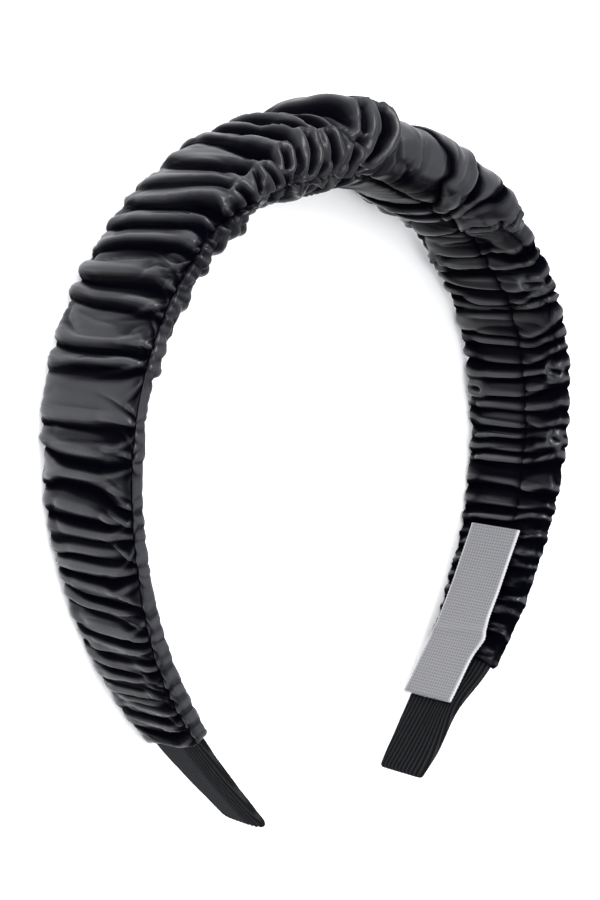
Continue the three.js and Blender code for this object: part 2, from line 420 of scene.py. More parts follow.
def smooth_curve(places, values, at):
    """Curve through the values at their places, level past both ends."""
    at = np.clip(at, places[0], places[-1])
    slopes = np.empty(len(places))
    slopes[1:-1] = (values[2:] - values[:-2]) / (places[2:] - places[:-2])
    slopes[0] = (values[1] - values[0]) / (places[1] - places[0])
    slopes[-1] = (values[-1] - values[-2]) / (places[-1] - places[-2])
    row = np.clip(np.searchsorted(places, at, side="right") - 1, 0, len(places) - 2)
    span = places[row + 1] - places[row]
    t = (at - places[row]) / span
    ease = t * t * (3 - 2 * t)
    level = values[row] * (1 - ease) + values[row + 1] * ease
    bow = slopes[row] * t * (1 - t) ** 2 - slopes[row + 1] * t * t * (1 - t)
    return level + bow * span


def level_at(rows, arc):
    """Straight from row to row of a table of arcs and shares."""
    return np.interp(arc, [row.arc for row in rows], [row.share for row in rows])


def bell(off, reach, power=2):
    """1 where off is 0 and 0.37 at the reach; a higher power has squarer shoulders."""
    return np.exp(-(np.abs(off) / reach) ** power)


def grow(value, start, length):
    """0 up to the start and 1 from a length past it."""
    return np.clip((value - start) / length, 0, 1)


def wrapped(turn):
    """The same turn between -180 and 180 degrees."""
    return (np.asarray(turn, float) + 180) % 360 - 180


def near_row(row, arc, degrees, arc_power=2, turn_power=2):
    """1 at the arc and turn of a row, fading past its reach and spread."""
    aside = bell(wrapped(degrees - row.turn), row.spread, turn_power)
    return bell(arc - row.arc, row.reach, arc_power) * aside


def drift(seed, arc, turn, cell, cells_round):
    """Smooth seeded noise from -1 to 1, in cells of so many mm and so many round."""
    source = np.random.default_rng(seed)
    rows = int(2 * HALF_ARC / cell) + 4
    values = source.uniform(-1, 1, (rows, cells_round))
    x = (np.asarray(arc, float) + HALF_ARC) / cell + 1
    y = np.asarray(turn, float) / 360 * cells_round
    i = np.clip(np.floor(x).astype(int), 0, rows - 2)
    j = np.floor(y).astype(int)
    u = x - i
    v = y - j
    u = u * u * (3 - 2 * u)
    v = v * v * (3 - 2 * v)
    here = j % cells_round
    beyond = (j + 1) % cells_round
    near = values[i, here] * (1 - v) + values[i, beyond] * v
    far = values[i + 1, here] * (1 - v) + values[i + 1, beyond] * v
    return near * (1 - u) + far * u


def noise(rows, arc, turn):
    """Sum of the drifts in a table."""
    return sum(row.amount * drift(row.seed, arc, turn, row.cell, row.cells_round) for row in rows)


# The loop's middle line and its place in the frame

def walk_arch():
    """Arc, x, y and turn of the middle line, walked from the crown to a tip."""
    step = HALF_ARC / ARCH_STEPS
    bends = along(ARCH, "bend", (np.arange(ARCH_STEPS) + 0.5) / ARCH_STEPS)
    turns = np.concatenate([[0], np.cumsum(bends * step)])
    middle = turns[:-1] + bends * step / 2
    x = np.concatenate([[0], np.cumsum(np.cos(middle) * step)])
    y = np.concatenate([[0], -np.cumsum(np.sin(middle) * step)])
    return np.arange(ARCH_STEPS + 1) * step, x, y, turns


ARCH_LINE = walk_arch()


def on_band(arc, across, out):
    """Points in the loop's own plane: across is up the width, out is away from the head."""
    reach = np.abs(arc)
    side = np.sign(arc)
    x = side * np.interp(reach, ARCH_LINE[0], ARCH_LINE[1])
    y = np.interp(reach, ARCH_LINE[0], ARCH_LINE[2])
    turn = np.interp(reach, ARCH_LINE[0], ARCH_LINE[3])
    return np.stack([x + side * np.sin(turn) * out, y + np.cos(turn) * out, across], -1)


def lifted(points):
    """The loop tilted on its back edge, before it is centred."""
    cos = math.cos(REST_TILT)
    sin = math.sin(REST_TILT)
    lift = SLEEVE[0].width / 2 * cos - REST_PRESS
    x = points[..., 0]
    y = points[..., 1] * cos - points[..., 2] * sin
    z = points[..., 1] * sin + points[..., 2] * cos + lift
    return np.stack([x, y, z], -1)


def section(rows, arc, turn, under=0.0):
    """A section's across and out at a turn in radians."""
    at = np.abs(arc) / HALF_ARC
    boxy = along(SLEEVE, "boxy", at)
    half_width = along(rows, "width", at) / 2 - under
    half_thick = along(rows, "thick", at) / 2 - under
    cos = np.cos(turn)
    sin = np.sin(turn)
    across = half_width * np.sign(cos) * np.abs(cos) ** boxy
    out = half_thick * np.sign(sin) * np.abs(sin) ** boxy
    return across, out


def band_centre():
    """How far the band's box in the frame lies from the box of the same band uncentred."""
    arc = np.linspace(-HALF_ARC, HALF_ARC, 801)[:, None]
    turn = np.radians(np.arange(0, 360, 2))[None, :]
    across, out = section(BAND, arc, turn)
    points = lifted(on_band(arc + 0 * turn, across, out)).reshape(-1, 3)
    low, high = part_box("padded_band")
    middle = np.array(low + high) / 2 / MM
    shift = middle - (points.min(0) + points.max(0)) / 2
    return np.array([shift[0], shift[1], 0.0])


CENTRE = band_centre()


def in_frame(points):
    """Millimetres in the loop's plane to metres in the frame."""
    return (lifted(points) + CENTRE) * MM


# Meshes

def wrapped_grid(points, patch, folds, joined=False):
    """A grid bent round to the points and welded, its ends joined together or else closed."""
    along_count = len(points) - (0 if joined else 1)
    around_count = points.shape[1] - 1
    bm = bmesh.new()
    uv = bm.loops.layers.uv.new("UVMap")
    fold = bm.verts.layers.float.new("fold")
    bmesh.ops.create_grid(
        bm, x_segments=around_count, y_segments=along_count, size=0.5, calc_uvs=False)
    bm.verts.ensure_lookup_table()
    shares = np.array([vert.co[:2] for vert in bm.verts]) + 0.5
    rows = np.round(shares[:, 1] * along_count).astype(int) % len(points)
    columns = np.round(shares[:, 0] * around_count).astype(int)
    around = columns % around_count
    for vert, point, height in zip(bm.verts, points[rows, around], folds[rows, around]):
        vert.co = point
        vert[fold] = height
    patches = patch[rows, columns]
    for face in bm.faces:
        for loop in face.loops:
            loop[uv].uv = patches[loop.vert.index]
    bmesh.ops.remove_doubles(bm, verts=bm.verts, dist=WELD)
    if not joined:
        rims = [edge for edge in bm.edges if edge.is_boundary]
        bmesh.ops.holes_fill(bm, edges=rims, sides=0)
    bmesh.ops.recalc_face_normals(bm, faces=bm.faces)
    return bm


def finished(bm, name, material):
    """The object of a finished bmesh."""
    mesh = bpy.data.meshes.new(name)
    bm.to_mesh(mesh)
    bm.free()
    mesh.shade_smooth()
    mesh.materials.append(material)
    piece = bpy.data.objects.new(name, mesh)
    bpy.context.scene.collection.objects.link(piece)
    return piece


def even_turns(rows, arcs, columns_count, start, crowding):
    """Turns in radians of each row's columns, even round the section but close by the start."""
    fine = np.linspace(0, 2 * math.pi, WRAP_SAMPLES + 1)[None, :]
    start = np.radians(start)[:, None]
    across, out = section(rows, arcs[:, None] + 0 * fine, fine + start)
    steps = np.hypot(np.diff(across), np.diff(out))
    reach = np.concatenate([np.zeros((len(arcs), 1)), np.cumsum(steps, 1)], 1)
    share = np.linspace(0, 1, columns_count + 1)
    share = share - crowding * np.sin(2 * math.pi * share) / (2 * math.pi)
    turns = np.empty((len(arcs), columns_count + 1))
    for row in range(len(arcs)):
        turns[row] = np.interp(share * reach[row, -1], reach[row], fine[0])
    return turns + start


# The sleeve's main folds

def fold_side(up, crest, room):
    """Height across one fold, 0 in its creases: a slope, a round crest and a steep fall."""
    foot = 1 - np.exp(-up / FOOT_REACH)
    knob = bell(crest - up, np.minimum(KNOB_REACH, 0.45 * room))
    climb = foot * (0.6 + 0.4 * knob)
    fall = np.clip((up - crest) / (room - crest), 0, 1)
    return np.where(up < crest, climb, (1 - fall ** 2) ** 0.7)


def painted_fold_sheen(up, crest, room, shade, wide, edge):
    """Painted light across one fold: 0 in the painted shadow under a crest, the flat painted sheen
    on a slope, 1 for the painted highlight on a crest.
    """
    slope = 1 - bell(up, shade, edge)
    fall = np.clip((up - crest) / (room - crest), 0, 1)
    base = FLAT_PAINTED_SHEEN * np.where(up < crest, slope, (1 - fall) ** (4 * wide ** 2 - 0.4))
    ridge = bell(crest - up, np.minimum(PAINTED_RIDGE_REACH, 0.3 * room))
    return base + (1 - base) * ridge


def crease_lines():
    """Every crease that runs all the way round, as its depth and its turn and arc points."""
    source = np.random.default_rng(11)
    lines = [
        (1.0, [(-90, LEFT_HEM - 4), (90, LEFT_HEM - 4)]),
        (1.0, [(-90, RIGHT_HEM + 3), (90, RIGHT_HEM + 3)]),
    ]
    for gather in GATHERS:
        side = 1 if gather.face < 0 else -1
        hidden = (gather.back + gather.front) / 2 + source.uniform(-1.2, 1.2)
        points = [
            (side * 140, gather.back),
            (side * 90, gather.face),
            (side * 20, gather.front),
            (side * -40, (gather.front + hidden) / 2 + source.uniform(-0.5, 0.5)),
            (side * -90, hidden),
            (side * -140, (gather.back + hidden) / 2),
        ]
        lines.append((gather.depth, points))
    for crease in CROWN:
        first = crease.run[0]
        last = crease.run[-1]
        gap = 360 + last[0] - first[0]
        points = list(crease.run)
        for share in (0.33, 0.67):
            arc = last[1] + (first[1] - last[1]) * share + source.uniform(-1.5, 1.5)
            points.append((last[0] - gap * share, arc))
        lines.append((crease.depth, points))
    return sorted(lines, key=lambda line: np.mean([arc for turn, arc in line[1]]))


def round_curve(points, turn):
    """Arc at a turn, on a smooth closed curve through turn and arc points."""
    ordered = sorted((float(wrapped(place)), arc) for place, arc in points)
    places = np.array([place for place, arc in ordered])
    values = np.array([arc for place, arc in ordered])
    places = np.concatenate([places - 360, places, places + 360])
    return smooth_curve(places, np.tile(values, 3), turn)


def sleeve_height(arc, degrees):
    """Share of the rise that stands at a place, its lean along the arc, and its painted sheen:
    painted shade under the crests and a painted highlight on them.
    """
    beside = wrapped(degrees - along(SEAM, "turn", arc))
    wobble = noise(WOBBLE, arc, degrees) * (1 + CROWN_WOBBLE * bell(arc, 36))
    step = SEAM_STEP * drift(23, arc, 0 * degrees, 5.0, 1) * grow(arc, RIGHT_SIDE, 20)
    place = arc + wobble + step * np.tanh(beside / 6)
    pinched = bell(beside, SEAM_PINCH)
    lines = crease_lines()
    curves = [round_curve(points, degrees) for depth, points in lines]
    height = np.ones_like(arc)
    lean = np.zeros_like(arc)
    sheen = np.full_like(arc, FLAT_PAINTED_SHEEN)
    # The strip inside the left seam is nearly smooth
    inside_seam = grow(-beside, -3, 10) * grow(beside, -100, 30)
    strip = 1 - 0.68 * inside_seam * grow(-arc, 40, 6)
    # Crests are thin and sharp over the crown, and round at the right arm's front edge
    rounded = bell(wrapped(degrees - 5), 40) * grow(arc, RIGHT_SIDE, 15)
    sharpness = 1 + 1.1 * bell(arc + 28, 34, 4) - 0.45 * rounded
    left = grow(-arc, 0, 20)
    crowned = bell(arc + 30, 36, 4)
    wide = level_at(PAINTED_SHADOWS, arc)

    def own(seed, cells_round):
        return drift(seed, arc, degrees, FOLD_CELL, cells_round)

    for i in range(len(curves) - 1):
        low = curves[i]
        room = np.maximum(curves[i + 1] - low, 0.5)
        share = (place - low) / room
        inside = (share >= 0) & (share <= 1)
        leftward = np.mean(low) < -2
        depths = [lines[i][0] * strip, lines[i + 1][0] * strip]
        if leftward:
            share = 1 - share
            depths.reverse()
        up = share * room
        fall = FALL * (1 - 0.5 * pinched) * (1 + 0.35 * own(FALL_SEED + i, 5))
        crest = room - np.minimum(0.5 * room, fall)
        side = fold_side(up, crest, room) ** sharpness
        depth = np.where(up < crest, depths[0], depths[1])
        depth = depth * (0.85 + 0.3 * own(DEPTH_SEED + i, 6))
        # A narrow fold is shallow, and a very wide one stands less high
        short = np.clip(room / 4.2, 0.3, 1)
        level = 1 - 0.25 * grow(room, 6, 8)
        stands = 1 - (1 - side) * depth * short - (1 - level) * side
        stands = stands * (1 - 0.5 * np.clip(1 - room / 3.2, 0, 1) * (arc > 0))
        # A thin ridge halfway up the crown's wide folds, with a painted highlight on it and a
        # painted shadow line under it
        middle = crest * (0.5 + 0.12 * own(MIDDLE_SEED + i, 5))
        roomy = grow(room, 3.5, 2) * crowned
        thin = bell(up - middle, 0.5) * roomy
        under = bell(up - middle + 1.1, 0.6) * roomy
        height = np.where(inside, stands + 0.1 * thin, height)
        lap = 0.35 + 0.3 * own(LAP_SEED + i, 4)
        lean = np.where(inside, (-1 if leftward else 1) * lap * side, lean)
        # Painted shade under each crest and a painted highlight on it; the left arm's painted
        # shadows are lens-shaped, widest at a turn that moves from fold to fold
        shade = PAINTED_SHADE_REACH * (1 - 0.5 * pinched) * wide
        shade = shade * (1 + 0.7 * own(SHADE_SEED + i, 7))
        lens_turn = 62 + 26 * math.sin(2.4 * i)
        lens = 0.3 + 1.3 * bell(wrapped(degrees - lens_turn), 48)
        shade = np.minimum(shade * (1 + left * (lens - 1)), 0.6 * room)
        shown = np.clip(depth * 1.5, 0, 1) * np.clip(room / 3, 0, 1)
        glow = painted_fold_sheen(up, crest, room, shade, wide, 2 + 2 * left)
        glow = FLAT_PAINTED_SHEEN + (glow - FLAT_PAINTED_SHEEN) * shown + 0.3 * thin
        sheen = np.where(inside, glow * (1 - 0.6 * under), sheen)
    return height, lean, sheen


# The sleeve's small folds, tucks and slots

def calmness(arc, degrees):
    """1 where the leather lies smooth."""
    return np.max([near_row(calm, arc, degrees, 4, 4) for calm in CALMS], 0)


def swelling(arc, degrees):
    """How far the padding pushes the sleeve out, in mm."""
    return sum(swell.height * near_row(swell, arc, degrees) for swell in SWELLS)


def small_folds(arc, degrees):
    """Depth of the many soft folds between the drawn ones, which split and run out."""
    warp = noise(WARP, arc, degrees)
    coarse = 1 - np.abs(drift(73, arc + warp, degrees, 3.8, 7))
    fine = 1 - np.abs(drift(74, arc + warp, degrees, 2.1, 11))
    patch = 0.55 + 0.45 * drift(75, arc, degrees, 12.0, 5)
    pleats = 1 - np.abs(drift(76, arc + 0.5 * warp, degrees, 1.7, 5))
    ends = grow(np.abs(arc), PLEATS_FROM, 14) * np.where(arc > 0, 1.7, 0.7)
    total = coarse ** 3 + 0.5 * patch * fine ** 3 + ends * pleats ** 4
    return total * (1 - 0.85 * calmness(arc, degrees))


def seam_tucks(source):
    """Lens-shaped folds that fan from the seam's stitches, longest over the left face."""
    tucks = []
    for knot in LEFT_KNOTS:
        turn = float(along(SEAM, "turn", knot))
        for slant in (-5.0, 0.5, 5.0):
            length = source.uniform(0.4, 1) * FACE_TUCK
            spread = slant + source.uniform(-1.5, 1.5)
            tucks.append((knot + slant * 0.4, turn, length, spread, source.uniform(0.55, 1)))
        for slant in (-2.0, 2.0):
            length = -source.uniform(0.5, 1) * STRIP_TUCK
            depth = source.uniform(0.2, 0.5) * (1.7 if knot < KNOBS_FROM else 1)
            tucks.append((knot + slant / 2, turn, length, slant, depth))
    knot = RIGHT_TUCKS_FROM
    while knot < RIGHT_HEM - 6:
        for length in (RIGHT_TUCK, -RIGHT_TUCK):
            slant = source.uniform(-1.5, 1.5)
            turn = float(along(SEAM, "turn", knot))
            reach = length * source.uniform(0.5, 1.2)
            tucks.append((knot, turn, reach, slant, source.uniform(0.3, 0.6)))
            knot += source.uniform(3.0, 5.5)
    return table(TUCK_COLUMNS, tucks)


def loose_tucks(source):
    """The drawn tucks and many faint ones all over."""
    tucks = []
    for _ in range(FAINT_TUCKS):
        arc = source.uniform(LEFT_HEM + 3, RIGHT_HEM - 3)
        length = source.uniform(5, 16)
        slant = source.uniform(-2.5, 2.5)
        turn = source.uniform(-180, 180)
        tucks.append((arc, turn, length, slant, source.uniform(0.12, 0.34)))
    return TUCKS + table(TUCK_COLUMNS, tucks)


def run_distance(run, degrees, arc, girth):
    """Distance in mm from a line through turn and arc points."""
    nearest = np.full_like(arc, FAR)
    for (turn, at), (next_turn, next_at) in zip(run, run[1:]):
        x = wrapped(degrees - turn) / 360 * girth
        y = arc - at
        step_x = wrapped(next_turn - turn) / 360 * girth
        step_y = next_at - at
        share = (x * step_x + y * step_y) / (step_x ** 2 + step_y ** 2)
        share = np.clip(share, 0, 1)
        nearest = np.minimum(nearest, np.hypot(x - share * step_x, y - share * step_y))
    return nearest


def tuck_shape(arc, degrees, girth):
    """Shares of the rise that tucks go down and rims stand up, and where the leather is calm."""
    source = np.random.default_rng(31)
    valleys = np.zeros_like(arc)
    ridges = np.zeros_like(arc)
    plain = np.zeros_like(arc)
    for tuck in loose_tucks(source):
        share = wrapped(degrees - tuck.turn) / 360 * girth / (tuck.length / 2)
        near = np.abs(share) < 1
        share = share[near]
        line = tuck.arc + tuck.slant * share * 0.5
        depth = tuck.depth * (1 - share ** 2) ** 1.5
        valleys[near] += depth * bell(arc[near] - line, 0.5 + 0.5 * tuck.depth, 1)
    for tuck in seam_tucks(source):
        share = wrapped(degrees - tuck.turn) / 360 * girth / tuck.length
        near = (share > 0) & (share < 1) & (np.abs(arc - tuck.arc) < NEARBY)
        share = share[near]
        line = tuck.arc + tuck.slant * share
        above = (arc[near] - line) * (1 if tuck.arc < 0 else -1)
        width = 0.35 + 2.1 * np.sqrt(share) * (1 - share)
        fade = tuck.depth * (1 - share ** 2)
        below = bell(np.maximum(-above, 0), width, 1.5)
        edge = bell(np.maximum(above, 0), 0.35)
        valleys[near] = np.maximum(valleys[near], fade * below * edge)
        ridge = fade * bell(above - 0.9, 0.55) * share * (1 - share) * 4
        ridges[near] = np.maximum(ridges[near], ridge)
    offs = []
    for slot in SLOTS:
        near = np.abs(arc - np.mean([at for turn, at in slot.run])) < NEARBY
        off = np.full_like(arc, FAR)
        off[near] = run_distance(slot.run, degrees[near], arc[near], girth[near])
        plain = np.maximum(plain, bell(off, slot.width + 2.4, 4))
        offs.append(off)
    valleys = valleys * (1 - plain)
    ridges = ridges * (1 - plain)
    for slot, off in zip(SLOTS, offs):
        floor = slot.depth * bell(off, slot.width)
        rim = slot.depth * bell(off - slot.width - 1.0, 0.75)
        valleys = np.maximum(valleys * (1 - 0.7 * rim), floor)
        ridges = np.maximum(ridges * (1 - floor), rim)
    return np.minimum(valleys, 0.95), ridges, plain


def seam_knobs(arc, degrees):
    """How far in mm the strip inside the seam is pushed out where a gather is caught."""
    caught = [knot for knot in LEFT_KNOTS if KNOBS_FROM < knot < KNOBS_TO]
    knobs = sum(bell(arc - knot - 0.6, 1.9) for knot in caught)
    return KNOB_PROUD * knobs * bell(wrapped(degrees + 52), 34)


# The sleeve's sheen and shape

def painted_leather_sheen(sheen, arc, degrees, seam_offset, tucks, ridges, plain, minor):
    """The fold attribute, painted shade and highlight: the main folds' painted sheen, with what
    tucks, slots and places change.
    """
    left = arc < 0
    # Painted shade along the seam's groove, down in the tucks and slots and in the small folds
    painted_seam_shade = bell(seam_offset, 0.35, 1) * np.where(arc > RIGHT_SIDE, 0.7, 1)
    sheen = sheen + 0.85 * plain * (FLAT_PAINTED_SHEEN - sheen)
    sheen = sheen * (1 - 0.95 * tucks) * (1 - 0.85 * painted_seam_shade)
    sheen = sheen * (1 - np.where(left, 0.4, 0.6) * np.minimum(minor, 1))
    # The painted sheen varies at random and is painted lighter on the lower left arm, darker on the
    # right arm, and brighter and darker in the listed places
    sheen = sheen * (1 + 0.16 * drift(46, arc, degrees, 7.0, 6)) * level_at(PAINTED_ARM_SHEEN, arc)
    for painted_patch in PAINTED_PATCHES:
        sheen = sheen * (1 + painted_patch.change * near_row(painted_patch, arc, degrees, painted_patch.power))
    # Painted shade beside the left arm's seam
    painted_shade_by_seam = bell(seam_offset - 2.6, 2.6) * grow(-arc, 20, 20)
    sheen = sheen * (1 - 0.5 * painted_shade_by_seam)
    # Painted highlight on the rims of tucks and slots; the painted highlight is taken off the
    # crown's crests, so they are no brighter than its slopes
    crowned = bell(arc + 25, 50)
    sheen = np.clip(sheen + (0.5 - 0.3 * crowned) * ridges, 0, 1)
    sheen = sheen - 0.9 * np.clip(sheen - FLAT_PAINTED_SHEEN, 0, 1) * crowned
    return sheen * (1 - 0.12 * crowned * left)


def gather_rise(arc, degrees, front_or_back):
    """How far the creases lie under the crests, in mm."""
    at = np.abs(arc) / HALF_ARC
    fuller = np.where(arc > 0, 0.0, 0.3) * grow(at, 0, 0.25)
    front = bell(degrees + 8, 32)
    uneven = 0.5 + 0.5 * drift(45, arc, degrees, 9.0, 4)
    crown_back = grow(degrees, 60, 40) * bell(arc + 30, 28, 4)
    rise = along(SLEEVE, "rise", at) * (1 + fuller * front * np.clip(4.5 - 8 * at, -1, 1))
    return rise * (1 - 0.6 * front_or_back * uneven) * (1 - 0.4 * crown_back)


def standing(height, arc, degrees, seam_offset, tucks, ridges, minor):
    """Share of the rise that stands once the tucks, the seam and the ripples are cut in."""
    crest = 0.9 + 0.1 * drift(42, arc, degrees, 7.0, 5)
    pinch = 0.75 + 0.25 * drift(41, arc, degrees, 2.4, 3)
    seam = bell(seam_offset, 0.5, 1) * np.where(arc > RIGHT_SIDE, 0.5, 1.0)
    ripple = noise(RIPPLE, arc, degrees) * (1 - calmness(arc, degrees))
    rims = ridges * (0.2 + 0.15 * (arc > RIGHT_SIDE))
    return height * crest - tucks * 0.5 + rims - seam * pinch * 0.75 + ripple - 0.42 * minor


def inside_hems(arc, turns):
    """How far the leather is rolled in at its hems: 1 at the very edge, 0 past the roll."""
    lean = np.cos(turns) / 2
    left = (arc - LEFT_HEM - LEFT_LEAN * lean) / LEFT_ROLL
    right = (RIGHT_HEM + RIGHT_LEAN * lean - arc) / RIGHT_ROLL
    hem = np.clip(np.minimum(left, right), 0, 1)
    return 1 - np.sqrt(np.maximum(1 - (1 - hem) ** 2, 0))


def sleeve_shape(sizes):
    """Points, map and fold values of the sleeve's grid, the fold values being its painted shade and
    highlight: outside, then its inside hidden.
    """
    rows_count = OUTSIDE_ROWS + INSIDE_ROWS
    rows = np.arange(rows_count)
    outside = rows <= OUTSIDE_ROWS
    share = np.where(outside, rows / OUTSIDE_ROWS, (rows_count - rows) / INSIDE_ROWS)
    outside = outside[:, None]
    middle_arc = LEFT_HEM + (RIGHT_HEM - LEFT_HEM) * share
    seam_turns = along(SEAM, "turn", middle_arc)
    turns = even_turns(SLEEVE, middle_arc, AROUND, seam_turns, SEAM_CROWDING)
    share = share[:, None] + 0 * turns
    cut = np.maximum(1 - 2 * share, 0) ** 8 * LEFT_LEAN
    cut = cut + np.maximum(2 * share - 1, 0) ** 8 * RIGHT_LEAN
    arc = middle_arc[:, None] + cut * np.cos(turns) / 2
    degrees = wrapped(np.degrees(turns))
    at = np.abs(arc) / HALF_ARC
    girth = 2 * along(SLEEVE, "width", at) + 1.2 * along(SLEEVE, "thick", at)
    seam_offset = wrapped(degrees - along(SEAM, "turn", arc)) / 360 * girth
    height, lean, sheen = sleeve_height(arc, degrees)
    tucks, ridges, plain = tuck_shape(arc, degrees, girth)
    minor = small_folds(arc, degrees) * (1 - plain)
    height = height + 0.75 * plain * (0.85 - height)
    stands = standing(height, arc, degrees, seam_offset, tucks, ridges, minor)
    sheen = painted_leather_sheen(sheen, arc, degrees, seam_offset, tucks, ridges, plain, minor)
    front_or_back = np.abs(np.cos(turns)) ** 3 * grow(np.abs(arc), 90, 30)
    rise = gather_rise(arc, degrees, front_or_back) * sizes.gather
    proud = CREST_PROUD * grow(at, 0.1, 0.25) * (1 - front_or_back) + seam_knobs(arc, degrees)
    under = rise * (1 - stands) - swelling(arc, degrees) - proud
    # The leather stops short of its own inner side, softly
    inner = along(SLEEVE, "thick", at) / 2 - along(BAND, "thick", at) / 2 - BAND_GAP
    deepest = inner - sizes.wall / MM * 0.4
    under = deepest - SOFT_STOP * np.log1p(np.exp((deepest - under) / SOFT_STOP))
    roll = inside_hems(arc, turns)
    under = under + roll * (inner - under)
    across, out = section(SLEEVE, arc, turns)
    ahead_across, ahead_out = section(SLEEVE, arc, turns + TURN_STEP)
    behind_across, behind_out = section(SLEEVE, arc, turns - TURN_STEP)
    run_across = ahead_across - behind_across
    run_out = ahead_out - behind_out
    length = np.hypot(run_across, run_out)
    inside_across, inside_out = section(BAND, arc, turns, -BAND_GAP)
    across = np.where(outside, across - run_out / length * under, inside_across)
    out = np.where(outside, out + run_across / length * under, inside_out)
    lean = lean * (1 - 0.9 * np.cos(turns) ** 2) * (1 - roll)
    points = in_frame(on_band(arc + np.where(outside, lean, 0), across, out))
    points[..., 2] = np.maximum(points[..., 2], 0)
    return points, np.stack([turns / (2 * math.pi) * girth, arc], -1), sheen


def build_sleeve(sizes):
    """The gathered sleeve."""
    bm = wrapped_grid(*sleeve_shape(sizes), joined=True)
    return finished(bm, "gathered_sleeve", faux_leather(sizes))


# The padded band with its ribbed ends

def band_arcs():
    """Rows close together on the bare ends and wide apart under the sleeve."""
    left = np.linspace(-HALF_ARC, -RIBS_FROM, END_ROWS + 1)
    middle = np.linspace(-RIBS_FROM, RIBS_FROM, MIDDLE_ROWS + 1)[1:-1]
    return np.concatenate([left, middle, -left[::-1]])


def band_shape(sizes):
    """Points, map and fold values of the band's grid; a fold is 1 on a rib and 0 between, for the
    painted highlight on the ribs and the painted shade between them.
    """
    arcs = band_arcs()
    turns = even_turns(BAND, arcs, BAND_AROUND, 0 * arcs, 0)
    arc = arcs[:, None] + 0 * turns
    across, out = section(BAND, arc, turns)
    waver = 0.35 * drift(51, arc, wrapped(np.degrees(turns)), 9.0, 3)
    wave = np.cos(2 * math.pi * (across + waver) / (sizes.rib / MM))
    # The left end's ribs are faint on its back half
    ribbed = 0.25 + 0.75 * np.where(arc < 0, grow(across, 1.5, 2), 1)
    rib = RIB_HEIGHT / 2 * (wave - 1) * grow(np.abs(arc), RIBS_FROM, 4) * ribbed
    out = out + np.sign(out) * rib * np.clip(np.abs(np.sin(turns)) * 3 - 0.4, 0, 1)
    end = np.clip((HALF_ARC - np.abs(arc)) / TIP_ROUND, 0, 1)
    round_off = np.sqrt(np.maximum(1 - (1 - end) ** 2, 0))
    out = out * (0.25 + 0.75 * round_off)
    across = across * (0.93 + 0.07 * round_off)
    # The right end is drawn in at its front edge just past the hem
    trim = 2.4 * bell(arc - 181, 9) * grow(across, 0, 8)
    points = in_frame(on_band(arc, across - trim, out))
    return points, np.stack([across, arc], -1), 1 + rib / RIB_HEIGHT


def build_band(sizes):
    """The padded band."""
    return finished(wrapped_grid(*band_shape(sizes)), "ribbed_band", ribbed_ribbon(sizes))


# The woven label

def label_shape(sizes):
    """Points, map and fold values of the label's grid; a fold is 1 on a selvedge, where a highlight
    is painted.
    """
    around = 2 * LABEL_COLUMNS
    rows = np.arange(LABEL_ROWS + 1)
    arcs = LABEL[0].at + (LABEL[-1].at - LABEL[0].at) * rows / LABEL_ROWS
    columns = np.arange(around + 1)
    half_width = sizes.width / MM / 2
    half_thick = sizes.thickness / MM / 2
    side = np.interp(columns, [0, around / 2, around], [1, -1, 1])[None, :]
    angle_sin = np.sin(2 * math.pi * columns / around)
    top = (np.sign(angle_sin) * np.minimum(np.abs(angle_sin) * 9, 1))[None, :]
    arc = arcs[:, None] + 0 * side
    middle = along(LABEL, "across", arc)
    # The free end curls at its corners, with a crease and a buckled front edge over the hem
    buckle = bell(arc - 163, 3.6) * np.clip(side, 0, 1) ** 2
    curl = 0.35 * side ** 2 * grow(arc, 160, 20)
    curl = curl + 0.35 * bell(arc - 162 + side, 1.1) + 0.8 * buckle
    ripple = 0.22 * drift(61, arc, side * 60, 11.0, 5)
    thread = 0.1 * np.sin(arc * 2 * math.pi / EDGE_THREAD) * np.abs(side) ** 8
    bow = -0.5 * np.sin(math.pi * grow(arc, 133, 30))
    across = middle + side * (half_width + thread) + 2.0 * buckle + bow
    out = -(along(LABEL, "proud", arc) + half_thick - half_thick * top + curl + ripple + 0.05)
    selvedge = grow(np.abs(side), 0.9, 0.05) + 0 * arc
    points = in_frame(on_band(arc, across, out))
    return points, np.stack([across - middle, arc], -1), selvedge


def build_label(sizes):
    """The bare label."""
    return finished(wrapped_grid(*label_shape(sizes)), "bare_label", woven_satin(sizes))


# Materials

def linear(code):
    """Linear colour of an sRGB hex value."""
    parts = [int(code[i:i + 2], 16) / 255 for i in (1, 3, 5)]
    levels = [c / 12.92 if c <= 0.04045 else ((c + 0.055) / 1.055) ** 2.4 for c in parts]
    return (*levels, 1.0)


def wire(tree, node, links):
    """Links into a node's inputs."""
    for name, socket in links.items():
        tree.links.new(socket, node.inputs[name])


def add_node(tree, kind, settings=None, links=None):
    """A node with its settings and links; a name that is no property is an input."""
    node = tree.nodes.new("ShaderNode" + kind)
    for name, value in (settings or {}).items():
        if isinstance(name, str) and hasattr(node, name):
            setattr(node, name, value)
        else:
            node.inputs[name].default_value = value
    wire(tree, node, links or {})
    return node


def set_stops(node, stops):
    """Places and colours of a ramp from its low end to its high one."""
    elements = node.color_ramp.elements
    for place, colour in stops[1:-1]:
        elements.new(place)
    for stop, (place, colour) in zip(elements, stops):
        stop.position = place
        stop.color = colour


def new_material(name, settings):
    """A material, its tree and its shader with the settings on its sockets."""
    material = bpy.data.materials.new(name)
    material.use_nodes = True
    tree = material.node_tree
    shader = tree.nodes["Principled BSDF"]
    for socket, value in settings.items():
        shader.inputs[socket].default_value = value
    return material, tree, shader


